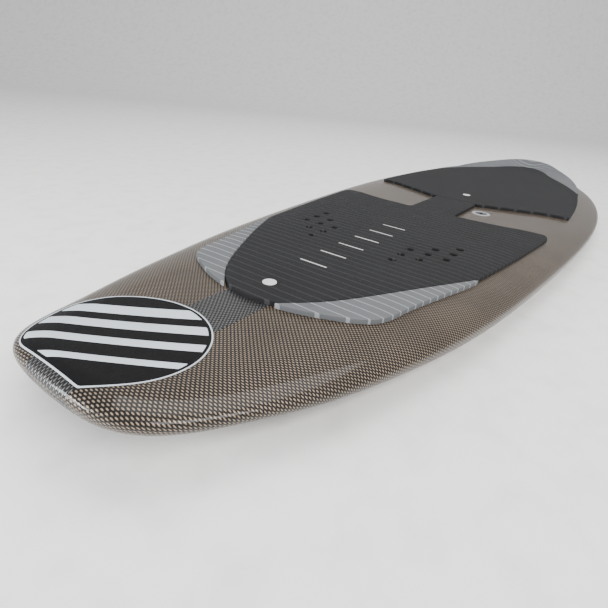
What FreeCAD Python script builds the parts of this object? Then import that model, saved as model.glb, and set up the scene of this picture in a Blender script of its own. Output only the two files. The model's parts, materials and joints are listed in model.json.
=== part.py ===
import FreeCAD, Part
import math
import os

import Sketcher

# A foil kiteboard: a foam core in a carbon laminate, with a foam deck pad, strap
# inserts, a vent and two foil tracks in the hull.
# Frame: origin under the middle of the board on the hull's flat, +X to the nose,
# +Y to port, +Z up. Lengths are in millimetres.

DIMENSIONS = {
    # board
    "board_length": 1450.0,
    "deck_height": 48.0,
    "nose_rise": 14.5,
    "nose_rise_start": 583.0,
    "nose_rocker": 36.0,
    "nose_rocker_start": 330.0,
    "tail_rocker": 18.0,
    "tail_rocker_start": 450.0,
    "rail_apex_share": 0.42,
    "deck_roll_share": 0.44,
    "hull_roll_share": 0.25,
    "skin_thickness": 1.5,
    "tape_thickness": 0.5,
    "tape_width": 48.6,
    # inside the board
    "sandwich_thickness": 3.0,
    "sandwich_length": 1120.0,
    "sandwich_width": 216.0,
    "sandwich_middle": -50.0,
    "strap_block_depth": 28.0,
    "foil_block_length": 310.0,
    "foil_block_width": 146.0,
    "foil_block_height": 37.0,
    # foil tracks
    "track_middle": -290.0,
    "track_spacing": 90.0,
    "box_length": 272.0,
    "box_width": 34.0,
    "box_height": 26.0,
    "box_corner": 8.0,
    "rail_length": 254.0,
    "rail_width": 24.0,
    "rail_height": 16.0,
    "slot_width": 9.0,
    "lip_thickness": 4.0,
    "channel_width": 16.6,
    "channel_top": 10.0,
    "relief_top": 13.0,
    "entry_width": 17.0,
    "entry_length": 27.0,
    "rail_end": 3.0,
    "bolt_spacing": 165.0,
    "nut_length": 24.0,
    "nut_width": 16.0,
    "nut_thickness": 5.0,
    "nut_gap": 0.3,
    "neck_width": 8.4,
    "neck_length": 20.0,
    "neck_bottom": 1.0,
    "thread_hole": 6.8,
    # strap inserts
    "insert_pitch": 25.4,
    "insert_front": 361.4,
    "insert_inner": 56.0,
    "insert_step": 23.0,
    "insert_diameter": 10.0,
    "insert_length": 18.0,
    "insert_hole": 5.0,
    "insert_floor": 3.0,
    "insert_margin": 16.0,
    "pad_hole": 8.0,
    # vent
    "vent_x": 18.0,
    "vent_y": 60.0,
    "vent_flange": 30.0,
    "vent_height": 23.0,
    "vent_stand": 0.4,
    "vent_screw_head": 19.6,
    "vent_screw_seat": 4.7,
    "vent_screw_rim": 2.8,
    "vent_shank": 9.8,
    "vent_shank_length": 8.0,
    "vent_screw_bore": 2.4,
    "vent_thread_bore": 10.4,
    "vent_seal_section": 1.8,
    "vent_seal_gap": 0.3,
    "vent_clearance": 0.4,
    "membrane_diameter": 16.0,
    "membrane_room": 4.0,
    "membrane_thickness": 0.5,
    "coin_slot_width": 2.4,
    "coin_slot_depth": 1.6,
    # deck pad
    "glue_gap": 0.2,
    "pad_thickness": 4.8,
    "pad_seam": 1.0,
    "kick_height": 24.0,
    "mark_width": 2.0,
    "mark_length": 34.4,
    "mark_depth": 1.5,
    "mark_front": 440.0,
    "mark_pitch": 39.9,
    # nose film and badges
    "film_thickness": 0.5,
    "film_middle_x": 663.5,
    "film_middle_y": -19.0,
    "film_radius": 69.4,
    "film_rim": 1.6,
    "film_front": 717.0,
    "bar_width": 15.0,
    "bar_taper": 2.5,
    "bar_pitch": 27.0,
    "bar_turn": 40.0,
    "badge_diameter": 14.0,
    "badge_thickness": 0.8,
    "front_badge_x": 513.0,
    "rear_badge_x": -87.0,
}

# Half of the outline at the rail's widest, tail to nose, as (x, half width).
OUTLINE = [
    (-725, 0),
    (-720, 22),
    (-705, 47),
    (-675, 78),
    (-630, 113),
    (-570, 148),
    (-500, 178),
    (-420, 200),
    (-320, 217),
    (-140, 227.5),
    (100, 216),
    (240, 202),
    (370, 185),
    (470, 165),
    (540, 146),
    (600, 127),
    (660, 100),
    (692, 85),
    (708, 73),
    (719, 57),
    (724, 31),
    (725, 0),
]
STATIONS = 36
FAN_SHARE = 625 / 725
END_WIDTH = 50.0
DEGREE = 3
PROUD = 0.4
BEYOND = 40.0
ACROSS = 700.0
SAMPLES = 24
KICK_START = -368.0
KICK_END = -700.0

doc = FreeCAD.newDocument("kiteboard")
sheet = doc.addObject("Spreadsheet::Sheet", "dims")
for row, (alias, value) in enumerate(DIMENSIONS.items(), 1):
    sheet.set(f"A{row}", alias)
    sheet.set(f"B{row}", str(value))
    sheet.setAlias(f"B{row}", alias)
doc.recompute()
nodes = []


def dim(alias):
    return float(sheet.get(alias))


def bind(target, **expressions):
    """Bind an object's properties to formulas in the sheet's aliases."""
    for prop, formula in expressions.items():
        target.setExpression(prop.replace("_dot_", "."), formula)
    return target


def place(target, x="0", y="0", z="0"):
    """Bind an object's place to formulas, in millimetres."""
    for axis, formula in zip("xyz", (x, y, z)):
        target.setExpression(f"Placement.Base.{axis}", formula)
    return target


def keep(target, name):
    """Name a finished sub-part: its label is its file's name."""
    target.Label = name
    nodes.append(target)
    return target


# ---------------------------------------------------------------- solids by formula


def deck_line(x):
    """Height of the deck above the hull's flat, on the centreline."""
    over = max(x - dim("nose_rise_start"), 0)
    reach = dim("board_length") / 2 - dim("nose_rise_start")
    return dim("deck_height") + dim("nose_rise") * (over / reach) ** 2


def hull_line(x):
    """Height of the hull's centreline: flat, with rocker at both ends."""
    half = dim("board_length") / 2
    nose = max(x - dim("nose_rocker_start"), 0) / (half - dim("nose_rocker_start"))
    tail = max(-x - dim("tail_rocker_start"), 0) / (half - dim("tail_rocker_start"))
    return dim("nose_rocker") * nose**2 + dim("tail_rocker") * tail**2


def apex_line(x):
    """Height of the rail's widest line."""
    deck = deck_line(x)
    return deck - dim("rail_apex_share") * (deck - hull_line(x))


def girth(edge, grow):
    """Points from the deck's centreline round the rail to the hull's centreline."""
    hub = FreeCAD.Vector(edge.x * FAN_SHARE, 0, 0)
    arm = FreeCAD.Vector(edge.x, edge.y, 0) - hub
    reach = arm.Length + grow
    arm.normalize()
    scale = math.hypot(edge.y, END_WIDTH)
    points = []
    for side, share in ((1, dim("deck_roll_share")), (-1, dim("hull_roll_share"))):
        roll = share * scale
        flat = reach - roll
        turns = range(0, 91, 10)
        offsets = [(0.0, 0.0), (flat / 2, 0.0)]
        offsets += [(flat + roll * math.sin(math.radians(a)), a) for a in turns]
        line = []
        for distance, angle in offsets:
            spot = hub + arm * distance
            middle = apex_line(spot.x)
            face = deck_line(spot.x) if side > 0 else hull_line(spot.x)
            rise = abs(face - middle) + grow + PROUD
            spot.z = middle + side * rise * math.cos(math.radians(angle))
            line.append(spot)
        points += line if side > 0 else line[-2::-1]
    return points


def side_line(line, y):
    """Edges along a height function of x: straight where it is straight."""
    half = dim("board_length") / 2
    breaks = [-half - BEYOND, KICK_END, -dim("tail_rocker_start"), KICK_START]
    breaks += [dim("nose_rocker_start"), dim("nose_rise_start"), half + BEYOND]
    edges = []
    for start, end in zip(breaks, breaks[1:]):
        steps = [start + (end - start) * i / SAMPLES for i in range(SAMPLES + 1)]
        points = [FreeCAD.Vector(x, y, line(x)) for x in steps]
        chord = Part.makeLine(points[0], points[-1])
        if all(chord.distToShape(Part.Vertex(point))[0] < 1e-6 for point in points):
            edges.append(chord)
        else:
            curve = Part.BSplineCurve()
            curve.interpolate(points)
            edges.append(curve.toShape())
    return edges


def side_block(upper, lower):
    """A solid across the board between two lines given as functions of x."""
    y = -ACROSS / 2
    edges = side_line(upper, y) + side_line(lower, y)
    for x in (-1, 1):
        end = x * (dim("board_length") / 2 + BEYOND)
        low = FreeCAD.Vector(end, y, lower(end))
        high = FreeCAD.Vector(end, y, upper(end))
        edges.append(Part.makeLine(low, high))
    wire = Part.Wire(Part.__sortEdges__(edges))
    return Part.Face(wire).extrude(FreeCAD.Vector(0, ACROSS, 0)).removeSplitter()


def smooth_surface(rows):
    """A cubic surface drawn through the space between rows of control points."""
    knots = []
    mults = []
    for count in (len(rows), len(rows[0])):
        spans = count - DEGREE
        knots.append([float(i) for i in range(spans + 1)])
        mults.append([DEGREE + 1] + [1] * (spans - 1) + [DEGREE + 1])
    surface = Part.BSplineSurface()
    surface.buildFromPolesMultsKnots(
        rows, mults[0], mults[1], knots[0], knots[1], False, False, DEGREE, DEGREE
    )
    return surface


def blank_shape(grow):
    """The board's outer solid, grown by a distance all round."""
    curve = Part.BSplineCurve()
    curve.interpolate([FreeCAD.Vector(x, y, 0) for x, y in OUTLINE])
    length = curve.length()
    rows = []
    for i in range(STATIONS + 1):
        along = length * (1 - math.cos(math.pi * i / STATIONS)) / 2
        edge = curve.value(curve.parameterAtDistance(along))
        if i in (0, STATIONS):
            edge.y = 0
        rows.append(girth(edge, grow))
    face = smooth_surface(rows).toShape()
    middle = Part.Face(Part.Wire(Part.__sortEdges__(face.Edges)))
    half = Part.Solid(Part.Shell([face, middle]))
    if half.Volume < 0:
        half.reverse()
    whole = half.fuse(half.mirror(FreeCAD.Vector(), FreeCAD.Vector(0, 1, 0)))
    trim = side_block(lambda x: deck_line(x) + grow, lambda x: hull_line(x) - grow)
    return whole.common(trim).removeSplitter().Solids[0]


def computed(name, shape):
    """Put a computed solid in the document."""
    item = doc.addObject("Part::Feature", name)
    item.Shape = shape
    item.Placement = FreeCAD.Placement()
    return item


# ---------------------------------------------------------------- helpers for solids


def box(name, length, width, height, x="0", y="0", z="0"):
    """A box centred on x and y that stands on z."""
    item = bind(doc.addObject("Part::Box", name), Length=length, Width=width, Height=height)
    return place(item, f"({x}) - ({length}) / 2", f"({y}) - ({width}) / 2", z)


def cylinder(name, diameter, height, x="0", y="0", z="0"):
    """An upright cylinder that stands on z."""
    item = bind(doc.addObject("Part::Cylinder", name), Radius=f"({diameter}) / 2", Height=height)
    return place(item, x, y, z)


def cut(name, base, tools):
    """A base less one or more tools."""
    tool = tools[0] if len(tools) == 1 else group(name + "_tools", tools)
    item = doc.addObject("Part::Cut", name)
    item.Base = base
    item.Tool = tool
    return item


def common(name, base, tool):
    """What two solids share."""
    item = doc.addObject("Part::Common", name)
    item.Base = base
    item.Tool = tool
    return item


def group(name, parts):
    """Several solids in one compound."""
    item = doc.addObject("Part::Compound", name)
    item.Links = parts
    return item


def sketch_on(body, role, name):
    """A sketch on one of a body's own origin planes."""
    sketch = body.newObject("Sketcher::SketchObject", name)
    plane = next(item for item in body.Origin.OriginFeatures if item.Role == role)
    sketch.AttachmentSupport = [(plane, "")]
    sketch.MapMode = "FlatFace"
    return sketch


def rectangle(sketch, length, width):
    """A rectangle centred on the sketch's origin, its sides bound to the sheet."""
    long_side = sketch.evalExpression(length)
    short_side = sketch.evalExpression(width)
    corners = [
        FreeCAD.Vector(i * float(long_side) / 2, j * float(short_side) / 2, 0)
        for i, j in ((-1, -1), (1, -1), (1, 1), (-1, 1))
    ]
    first = sketch.GeometryCount
    for i in range(4):
        sketch.addGeometry(Part.LineSegment(corners[i], corners[(i + 1) % 4]), False)
    for i in range(4):
        sketch.addConstraint(
            Sketcher.Constraint("Coincident", first + i, 2, first + (i + 1) % 4, 1)
        )
    for i, kind in enumerate(("Horizontal", "Vertical", "Horizontal", "Vertical")):
        sketch.addConstraint(Sketcher.Constraint(kind, first + i))
    sketch.addConstraint(Sketcher.Constraint("Symmetric", first, 1, first + 1, 2, -1, 1))
    for kind, line, formula in (("DistanceX", first, length), ("DistanceY", first + 1, width)):
        size = float(sketch.evalExpression(formula))
        index = sketch.addConstraint(Sketcher.Constraint(kind, line, 1, line, 2, size))
        sketch.setExpression(f"Constraints[{index}]", formula)
    return sketch


def circle(sketch, diameter):
    """A circle on the sketch's origin, its diameter bound to the sheet."""
    size = float(sketch.evalExpression(diameter))
    line = sketch.addGeometry(Part.Circle(FreeCAD.Vector(), FreeCAD.Vector(0, 0, 1), size / 2))
    sketch.addConstraint(Sketcher.Constraint("Coincident", line, 3, -1, 1))
    index = sketch.addConstraint(Sketcher.Constraint("Diameter", line, size))
    sketch.setExpression(f"Constraints[{index}]", diameter)
    return sketch


def pad(body, sketch, name, length):
    """A pad whose length is bound to the sheet."""
    item = body.newObject("PartDesign::Pad", name)
    item.Profile = sketch
    item.setExpression("Length", length)
    return item


def runs(sketch, spans):
    """Close a loop of straight lines (two points) and smooth curves (more points)."""
    for span in spans:
        points = [FreeCAD.Vector(x, y, 0) for x, y in span]
        if len(points) == 2:
            sketch.addGeometry(Part.LineSegment(*points), False)
        else:
            curve = Part.BSplineCurve()
            curve.interpolate(points)
            sketch.addGeometry(curve, False)
    return sketch


def prism(name, spans):
    """An upright prism through the whole board, from a closed loop of spans."""
    body = doc.addObject("PartDesign::Body", name)
    sketch = runs(sketch_on(body, "XY_Plane", name + "_outline"), spans)
    pad(body, sketch, name + "_height", "dims.deck_height * 3")
    return body


# ---------------------------------------------------------------- board blanks

outer = computed("outer_blank", blank_shape(0))
inner = computed("inner_blank", blank_shape(-dim("skin_thickness")))
under_tape = computed("under_tape_blank", blank_shape(-dim("tape_thickness")))
glue_top = computed("glue_top_blank", blank_shape(dim("glue_gap")))
pad_top = computed("pad_top_blank", blank_shape(dim("glue_gap") + dim("pad_thickness")))
film_top = computed("film_top_blank", blank_shape(dim("film_thickness")))
above_rail = computed("above_rail", side_block(lambda x: 4 * dim("deck_height"), apex_line))

# ---------------------------------------------------------------- insert and vent places

ROWS = 3
SIDES = {"port": 1, "starboard": -1}


def insert_places(side):
    """Formulas for the strap inserts' places on one side, three rows of three."""
    spots = []
    for row in range(ROWS):
        for step in range(ROWS):
            x = f"dims.insert_front - dims.insert_pitch * {row + step}"
            y = f"(dims.insert_inner + dims.insert_step * {row}) * {SIDES[side]}"
            spots.append((x, y))
    return spots


def holes(name, diameter):
    """Cylinders right through the board at every insert."""
    return [
        cylinder(f"{name}_{side}_{i}", diameter, "dims.deck_height * 2", x, y)
        for side in SIDES
        for i, (x, y) in enumerate(insert_places(side))
    ]


vent_hole = cylinder(
    "vent_hole",
    "dims.vent_flange",
    "dims.deck_height",
    "dims.vent_x",
    "dims.vent_y",
    "dims.deck_height + dims.vent_stand - dims.vent_height",
)

# ---------------------------------------------------------------- foil tracks


def track_y(side):
    return f"dims.track_spacing / 2 * {SIDES[side]}"


def rounded_box_body(name):
    """The outside of a track box: a pad with rounded upright corners."""
    body = doc.addObject("PartDesign::Body", name)
    sketch = sketch_on(body, "XY_Plane", name + "_outline")
    rectangle(sketch, "dims.box_length", "dims.box_width")
    block = pad(body, sketch, name + "_block", "dims.box_height")
    doc.recompute()
    upright = [
        f"Edge{i}"
        for i, edge in enumerate(block.Shape.Edges, 1)
        if abs(edge.tangentAt(edge.FirstParameter).z) > 0.99
    ]
    rounding = body.newObject("PartDesign::Fillet", name + "_corners")
    rounding.Base = (block, upright)
    rounding.setExpression("Radius", "dims.box_corner")
    return body


def track_box(side):
    """A moulded box, open below, that holds the metal rail."""
    name = f"track_box_{side}"
    body = rounded_box_body(name)
    sketch = sketch_on(body, "XY_Plane", name + "_rail_seat")
    rectangle(sketch, "dims.rail_length", "dims.rail_width")
    seat = body.newObject("PartDesign::Pocket", name + "_seat")
    seat.Profile = sketch
    seat.Reversed = True
    seat.setExpression("Length", "dims.rail_height")
    place(body, "dims.track_middle", track_y(side))
    return keep(body, name)


def track_rail(side):
    """A milled channel, open below and closed at its ends, with lips that hold the T-nuts."""
    name = f"track_rail_{side}"
    body = doc.addObject("PartDesign::Body", name)
    sketch = sketch_on(body, "XY_Plane", name + "_outline")
    rectangle(sketch, "dims.rail_length", "dims.rail_width")
    pad(body, sketch, name + "_bar", "dims.rail_height")
    inside = "dims.rail_length - 2 * dims.rail_end"
    cuts = (
        ("slot", inside, "dims.slot_width", "0", "dims.relief_top"),
        ("channel", inside, "dims.channel_width", "dims.lip_thickness",
         "dims.channel_top - dims.lip_thickness"),
        ("entry", "dims.entry_length", "dims.entry_width", "0", "dims.lip_thickness"),
    )
    for label, length, width, start, depth in cuts:
        profile = sketch_on(body, "XY_Plane", f"{name}_{label}_outline")
        rectangle(profile, length, width)
        profile.setExpression("AttachmentOffset.Base.z", start)
        pocket = body.newObject("PartDesign::Pocket", f"{name}_{label}")
        pocket.Profile = profile
        pocket.Reversed = True
        pocket.setExpression("Length", depth)
    place(body, "dims.track_middle", track_y(side))
    return keep(body, name)


def t_nut(end, side):
    """A threaded nut: a wide base in the channel and a neck in the slot."""
    name = f"t_nut_{end}_{side}"
    body = doc.addObject("PartDesign::Body", name)
    neck = sketch_on(body, "XY_Plane", name + "_neck_outline")
    rectangle(neck, "dims.neck_length", "dims.neck_width")
    pad(body, neck, name + "_neck", "dims.lip_thickness + dims.nut_gap - dims.neck_bottom")
    base = sketch_on(body, "XY_Plane", name + "_base_outline")
    rectangle(base, "dims.nut_length", "dims.nut_width")
    base.setExpression(
        "AttachmentOffset.Base.z", "dims.lip_thickness + dims.nut_gap - dims.neck_bottom"
    )
    pad(body, base, name + "_base", "dims.nut_thickness")
    bore = circle(sketch_on(body, "XY_Plane", name + "_thread_outline"), "dims.thread_hole")
    thread = body.newObject("PartDesign::Pocket", name + "_thread")
    thread.Profile = bore
    thread.Reversed = True
    thread.Type = "ThroughAll"
    sign = 1 if end == "front" else -1
    place(
        body,
        f"dims.track_middle + dims.bolt_spacing / 2 * {sign}",
        track_y(side),
        "dims.neck_bottom",
    )
    return keep(body, name)


boxes = []
for side in SIDES:
    track_box(side)
    track_rail(side)
    outside = rounded_box_body(f"track_space_{side}")
    place(outside, "dims.track_middle", track_y(side))
    boxes.append(outside)
for end in ("front", "rear"):
    for side in SIDES:
        t_nut(end, side)

# ---------------------------------------------------------------- blocks in the core


def block_outline(side):
    """A slanted block under one side's inserts."""
    margin = dim("insert_margin")
    lean = dim("insert_pitch") / dim("insert_step")
    low = dim("insert_inner") - margin
    high = dim("insert_inner") + dim("insert_step") * (ROWS - 1) + margin
    front = dim("insert_front") + margin
    rear = front - dim("insert_pitch") * (ROWS - 1) - 2 * margin
    corners = [
        (front + lean * margin, low),
        (rear + lean * margin, low),
        (rear - lean * (high - low - margin), high),
        (front - lean * (high - low - margin), high),
    ]
    corners = [(x, y * SIDES[side]) for x, y in corners]
    return [[corners[i], corners[(i + 1) % 4]] for i in range(4)]


insert_holes = holes("insert_space", "dims.insert_diameter")
strap_spaces = []
for side in SIDES:
    space = prism(f"strap_space_{side}", block_outline(side))
    place(space, z="dims.deck_height - dims.skin_thickness - dims.strap_block_depth")
    strap_spaces.append(space)
    body = common(f"strap_block_{side}_body", inner, space)
    keep(cut(f"strap_block_{side}_node", body, insert_holes), f"strap_block_{side}")

foil_space = box(
    "foil_space",
    "dims.foil_block_length",
    "dims.foil_block_width",
    "dims.foil_block_height",
    "dims.track_middle",
)
foil_block = common("foil_block_body", inner, foil_space)
keep(cut("foil_block_node", foil_block, boxes), "foil_block")

sheet_ring = doc.addObject("PartDesign::Body", "sandwich_space")
oval = sketch_on(sheet_ring, "XY_Plane", "sandwich_outline")
oval.addGeometry(
    Part.Ellipse(FreeCAD.Vector(), dim("sandwich_length") / 2, dim("sandwich_width") / 2), False
)
pad(sheet_ring, oval, "sandwich_sheet", "dims.sandwich_thickness")
place(
    sheet_ring,
    "dims.sandwich_middle",
    z="dims.deck_height - dims.skin_thickness - dims.sandwich_thickness",
)
keep(cut("deck_sandwich_node", sheet_ring, strap_spaces + [vent_hole]), "deck_sandwich")

core_tools = [sheet_ring, foil_space, vent_hole] + strap_spaces
keep(cut("foam_core_node", inner, core_tools), "foam_core")

# ---------------------------------------------------------------- laminate

ring = cut("laminate_ring", outer, [under_tape])
strip = box(
    "tape_strip", "dims.board_length + 100", "dims.tape_width", "dims.deck_height * 3",
    z="-dims.deck_height",
)
tape = common("tape_ring", ring, strip)
keep(common("deck_stringer_tape_node", tape, above_rail), "deck_stringer_tape")
keep(cut("hull_stringer_tape_node", tape, [above_rail]), "hull_stringer_tape")

shell = cut("laminate_shell", outer, [inner])
plain_shell = cut("laminate_less_tape", shell, [tape])
deck_shell = common("deck_shell", plain_shell, above_rail)
hull_shell = cut("hull_shell", plain_shell, [above_rail])
keep(cut("deck_skin_node", deck_shell, insert_holes + [vent_hole]), "deck_skin")
keep(cut("hull_skin_node", hull_shell, boxes), "hull_skin")

# ---------------------------------------------------------------- strap inserts

for side in SIDES:
    sleeves = []
    for i, (x, y) in enumerate(insert_places(side)):
        z = "dims.deck_height - dims.insert_length"
        rod = cylinder(f"sleeve_{side}_{i}", "dims.insert_diameter", "dims.insert_length", x, y, z)
        bore = cylinder(
            f"bore_{side}_{i}", "dims.insert_hole", "dims.insert_length", x, y,
            f"{z} + dims.insert_floor",
        )
        sleeves.append(cut(f"insert_{side}_{i}", rod, [bore]))
    keep(group(f"strap_inserts_{side}_node", sleeves), f"strap_inserts_{side}")

# ---------------------------------------------------------------- vent


def turned(name, steps):
    """A body turned about +Z from (radius, height) corners, starting and ending on the axis."""
    body = doc.addObject("PartDesign::Body", name)
    sketch = sketch_on(body, "XZ_Plane", name + "_profile")
    points = [FreeCAD.Vector(r, z, 0) for r, z in steps]
    for i, point in enumerate(points):
        sketch.addGeometry(Part.LineSegment(point, points[(i + 1) % len(points)]), False)
    spin = body.newObject("PartDesign::Revolution", name + "_turn")
    spin.Profile = sketch
    spin.ReferenceAxis = (sketch, ["V_Axis"])
    spin.Angle = 360
    place(body, "dims.vent_x", "dims.vent_y", "dims.deck_height")
    return body


FLANGE = dim("vent_flange") / 2
TOP = dim("vent_stand")
FOOT = TOP - dim("vent_height")
HEAD = dim("vent_screw_head") / 2
WELL = HEAD + dim("vent_clearance")
SEAT = -dim("vent_screw_seat")
RIM = -dim("vent_screw_rim")
SHANK = dim("vent_shank") / 2
TIP = SEAT - dim("vent_shank_length")
CORE = dim("vent_screw_bore") / 2
THREAD = dim("vent_thread_bore") / 2
MEMBRANE = dim("membrane_diameter") / 2
ROOM = FOOT + dim("membrane_room")
CHAMFER = 0.6
EASED = 0.4
cup = turned(
    "vent_cup_body",
    [
        (WELL, TOP), (FLANGE - CHAMFER, TOP), (FLANGE, TOP - CHAMFER), (FLANGE, FOOT),
        (MEMBRANE, FOOT), (MEMBRANE, ROOM), (THREAD, ROOM), (THREAD, SEAT), (WELL, SEAT),
    ],
)
keep(cup, "vent_cup")
screw = turned(
    "vent_screw_body",
    [
        (CORE, TIP), (SHANK, TIP), (SHANK, RIM), (HEAD, RIM),
        (HEAD, -EASED), (HEAD - EASED, 0), (CORE, 0),
    ],
)
doc.recompute()
coin = sketch_on(screw, "XY_Plane", "coin_slot_outline")
rectangle(coin, "dims.vent_screw_head * 0.8", "dims.coin_slot_width")
coin_slot = screw.newObject("PartDesign::Pocket", "coin_slot")
coin_slot.Profile = coin
coin_slot.setExpression("Length", "dims.coin_slot_depth")
keep(screw, "vent_screw")
seal = bind(
    doc.addObject("Part::Torus", "vent_seal_ring"),
    Radius1="(dims.vent_shank + dims.vent_seal_section) / 2 + dims.vent_seal_gap",
    Radius2="dims.vent_seal_section / 2",
)
place(
    seal, "dims.vent_x", "dims.vent_y",
    "dims.deck_height - (dims.vent_screw_seat + dims.vent_screw_rim) / 2",
)
keep(seal, "vent_seal")
membrane = cylinder(
    "vent_membrane_disc", "dims.membrane_diameter", "dims.membrane_thickness",
    "dims.vent_x", "dims.vent_y",
    "dims.deck_height + dims.vent_stand - dims.vent_height + dims.membrane_room"
    " - dims.membrane_thickness",
)
keep(membrane, "vent_membrane")

# ---------------------------------------------------------------- deck pad

BRIDGE = 37.5
SEAM = dim("pad_seam")
SHIFT = 1.6 * SEAM
REAR_START = -23.5
PAD_FRONT = [(335, 148), (396, 120), (460, 88), (517, 53), (540, 30), (547, 0)]
FRONT_PAD_ACROSS = [
    PAD_FRONT + [(x, -y) for x, y in PAD_FRONT[-2::-1]],
    [(REAR_START, BRIDGE), (REAR_START, -BRIDGE)],
]
FRONT_PAD_SIDE = [
    [(335, 148), (200, 166), (84, 178)],
    [(84, 178), (72, 172)],
    [(72, 172), (90, 112), (97, BRIDGE)],
    [(97, BRIDGE), (REAR_START, BRIDGE)],
]
WING = [
    [(544, 29), (537, 55), (526, 80), (516, 98), (500, 112), (469, 120), (406, 134), (338, 150)],
    [(338, 150), (335 + SHIFT, 148)],
    [(x + SHIFT, y) for x, y in PAD_FRONT[:4]] + [(544, 29)],
]
KICK_INNER = [(-368, 165), (-430, 138), (-500, 102), (-570, 68), (-640, 38), (-672, 0)]
KICK_OUTER = [(-368, 167), (-480, 152), (-570, 118), (-640, 76), (-690, 34), (-700, 0)]
REAR_PAD_ACROSS = [
    [(REAR_START - SEAM, BRIDGE), (REAR_START - SEAM, -BRIDGE)],
    KICK_INNER + [(x, -y) for x, y in KICK_INNER[-2::-1]],
]
REAR_PAD_SIDE = [
    [(REAR_START - SEAM, BRIDGE), (-58, 110), (-91, 184)],
    [(-91, 184), (-230, 180), (-368, 165)],
]
KICK_SHIFTED = [(x - SHIFT, y) for x, y in KICK_INNER]
KICK_ACROSS = [
    KICK_SHIFTED + [(x, -y) for x, y in KICK_SHIFTED[-2::-1]],
    KICK_OUTER + [(x, -y) for x, y in KICK_OUTER[-2::-1]],
]
KICK_TIPS = [[KICK_SHIFTED[0], KICK_OUTER[0]]]


def flipped(spans):
    """The same spans on the starboard side."""
    return [[(x, -y) for x, y in span] for span in spans]


def kick_line(x):
    """Top of the tail kick: low at its tips and highest at the tail."""
    share = min(max((x - KICK_START) / (KICK_END - KICK_START), 0), 1)
    low = dim("deck_height") - dim("kick_height") / 2
    return low + 1.5 * dim("kick_height") * share


band = common("pad_band", cut("pad_ring", pad_top, [glue_top]), above_rail)
MARKS = 6
marks = [
    box(
        f"mark_space_{i}", "dims.mark_width", "dims.mark_length", "dims.mark_depth",
        f"dims.mark_front - dims.mark_pitch * {i}",
        z="dims.deck_height + dims.glue_gap + dims.pad_thickness - dims.mark_depth",
    )
    for i in range(MARKS)
]
strap_holes = holes("pad_hole", "dims.pad_hole")


def pad_piece(name, spans, source, tools):
    """One sheet of the deck pad, cut to an outline."""
    body = common(name + "_body", source, prism(name + "_space", spans))
    return keep(cut(name + "_node", body, tools) if tools else body, name)


front_spans = FRONT_PAD_ACROSS + FRONT_PAD_SIDE + flipped(FRONT_PAD_SIDE)
pad_piece("front_pad", front_spans, band, marks + strap_holes)
pad_piece("pad_wing_port", WING, band, [])
pad_piece("pad_wing_starboard", flipped(WING), band, [])
pad_piece("rear_pad", REAR_PAD_ACROSS + REAR_PAD_SIDE + flipped(REAR_PAD_SIDE), band, [])
keep(group("pad_marks_node", marks), "pad_marks")

ramp = computed("kick_ramp", side_block(kick_line, lambda x: 0.0))
raised = doc.addObject("Part::Fuse", "kick_blank")
raised.Base = pad_top
raised.Tool = ramp
kick_source = common("kick_source", cut("kick_ring", raised, [glue_top]), above_rail)
kick_spans = KICK_ACROSS + KICK_TIPS + flipped(KICK_TIPS)
pad_piece("rear_kick", kick_spans, kick_source, [])

# ---------------------------------------------------------------- nose film and badges

film = common("film_band", cut("film_ring", film_top, [outer]), above_rail)
RIGHT_THROUGH = "dims.deck_height * 3"
BARS = 4
FRONT_DEPTH = 40.0


def film_disc(name, inset):
    """The nose film's outline drawn in by an inset: a disc with a straight front."""
    disc = cylinder(
        name + "_disc", f"2 * (dims.film_radius - {inset})", RIGHT_THROUGH,
        "dims.film_middle_x", "dims.film_middle_y",
    )
    front = box(
        name + "_front", str(FRONT_DEPTH), "4 * dims.film_radius", RIGHT_THROUGH,
        f"dims.film_front - {inset} + {FRONT_DEPTH / 2}",
    )
    return cut(name, disc, [front])


def film_bar(index):
    """One slanted bar of the nose film's plain pattern."""
    bar = bind(
        doc.addObject("Part::Box", f"film_bar_{index}"),
        Length=f"dims.bar_width - dims.bar_taper * {index}",
        Width="4 * dims.film_radius",
        Height=RIGHT_THROUGH,
    )
    upright = FreeCAD.Vector(0, 0, 1)
    turn = FreeCAD.Placement(FreeCAD.Vector(), FreeCAD.Rotation(upright, dim("bar_turn")))
    middle = FreeCAD.Placement(
        FreeCAD.Vector(dim("film_middle_x"), dim("film_middle_y"), 0), FreeCAD.Rotation()
    )
    start = dim("bar_pitch") * (index - (BARS - 1) / 2) - dim("bar_width") / 2
    shift = FreeCAD.Placement(
        FreeCAD.Vector(start, -2 * dim("film_radius"), 0), FreeCAD.Rotation()
    )
    bar.Placement = middle * turn * shift
    return bar


film_space = film_disc("film_space", "0")
rim_space = cut("rim_space", film_space, [film_disc("rim_inside", "dims.film_rim")])
bars = group("film_bars", [film_bar(i) for i in range(BARS)])
bar_space = common("bar_space", film_disc("bar_field", "3 * dims.film_rim"), bars)
trim_space = group("trim_space", [rim_space, bar_space])
keep(common("nose_decal_trim_node", film, trim_space), "nose_decal_trim")
film_body = common("film_body", film, film_space)
keep(cut("nose_decal_node", film_body, [rim_space, bar_space]), "nose_decal")

for end in ("front", "rear"):
    badge = doc.addObject("PartDesign::Body", f"{end}_badge_body")
    outline = circle(sketch_on(badge, "XY_Plane", f"{end}_badge_outline"), "dims.badge_diameter")
    pad(badge, outline, f"{end}_badge_disc", "dims.badge_thickness")
    place(
        badge, f"dims.{end}_badge_x",
        z="dims.deck_height + dims.glue_gap + dims.pad_thickness",
    )
    keep(badge, f"{end}_badge")

# ---------------------------------------------------------------- check and write

doc.recompute()
for item in doc.Objects:
    if "Invalid" in item.State or "Error" in item.State:
        raise RuntimeError(f"{item.Name} failed: {item.State}")
for node in nodes:
    if node.Shape.isNull() or not node.Shape.isValid():
        raise RuntimeError(f"{node.Label} is not a valid solid")

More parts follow.
